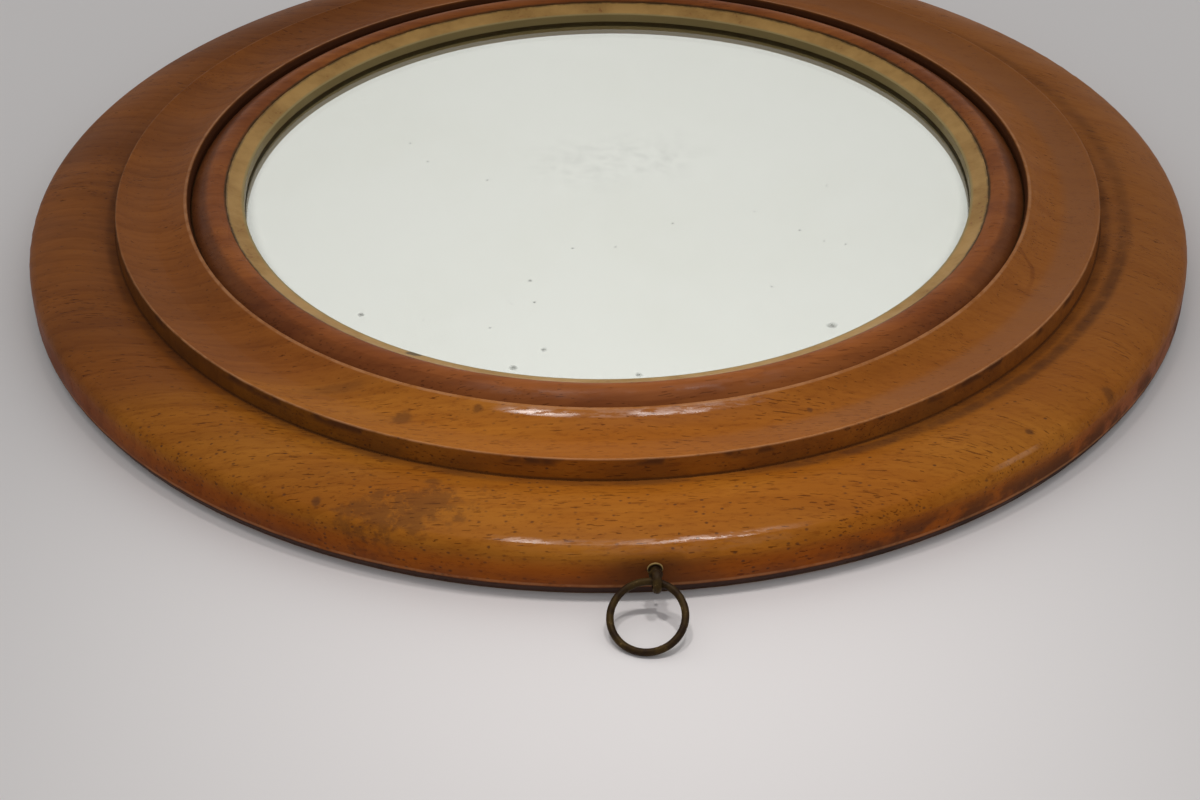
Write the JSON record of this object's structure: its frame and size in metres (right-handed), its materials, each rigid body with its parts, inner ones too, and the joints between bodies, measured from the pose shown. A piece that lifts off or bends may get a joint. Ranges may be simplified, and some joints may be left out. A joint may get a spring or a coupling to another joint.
{
  "type": "wall mirror",
  "caption": "Round wall mirror in a turned wooden frame, with a gilt slip round the glass and a brass hanging ring on a screw eye.",
  "frame": {"origin": "centre of the flat back of the frame", "axes": "+Z out of the mirror's face, -Y towards the screw eye and hanging ring, which are the top of the mirror when it hangs"},
  "size_m": [0.38, 0.4024, 0.0227],
  "materials": {
    "frame_wood": "old shellac and wax",
    "bead_wood": "old shellac, darker and redder",
    "gilding": "worn gilding on wood",
    "glass": "polished, slightly green",
    "silvering": "aged, with dark spots",
    "paper": "matte",
    "pine": "bare, aged",
    "block_wood": "bare",
    "sprig_iron": "rusted",
    "eye_brass": "dark patina, worn bright at the collar",
    "ring_brass": "dark patina, worn bright in places"
  },
  "bodies": {
    "mirror": {"outer_frame": "frame_wood", "sight_bead": "bead_wood", "gilt_slip": "gilding", "mirror_glass": "glass", "mirror_silvering": "silvering", "backing_paper": "paper", "backboard": "pine", "packing_blocks": "block_wood", "backboard_sprigs": "sprig_iron", "screw_eye": "eye_brass"},
    "ring": {"hanging_ring": "ring_brass"}
  },
  "joints": [
    {"name": "ring_swing", "type": "hinge", "parent": "mirror", "child": "ring", "pos_m": [0, -0.1946, 0.0089], "axis": [-0.9397, 0.342, 0], "range_deg": [-71, 134]}
  ]
}
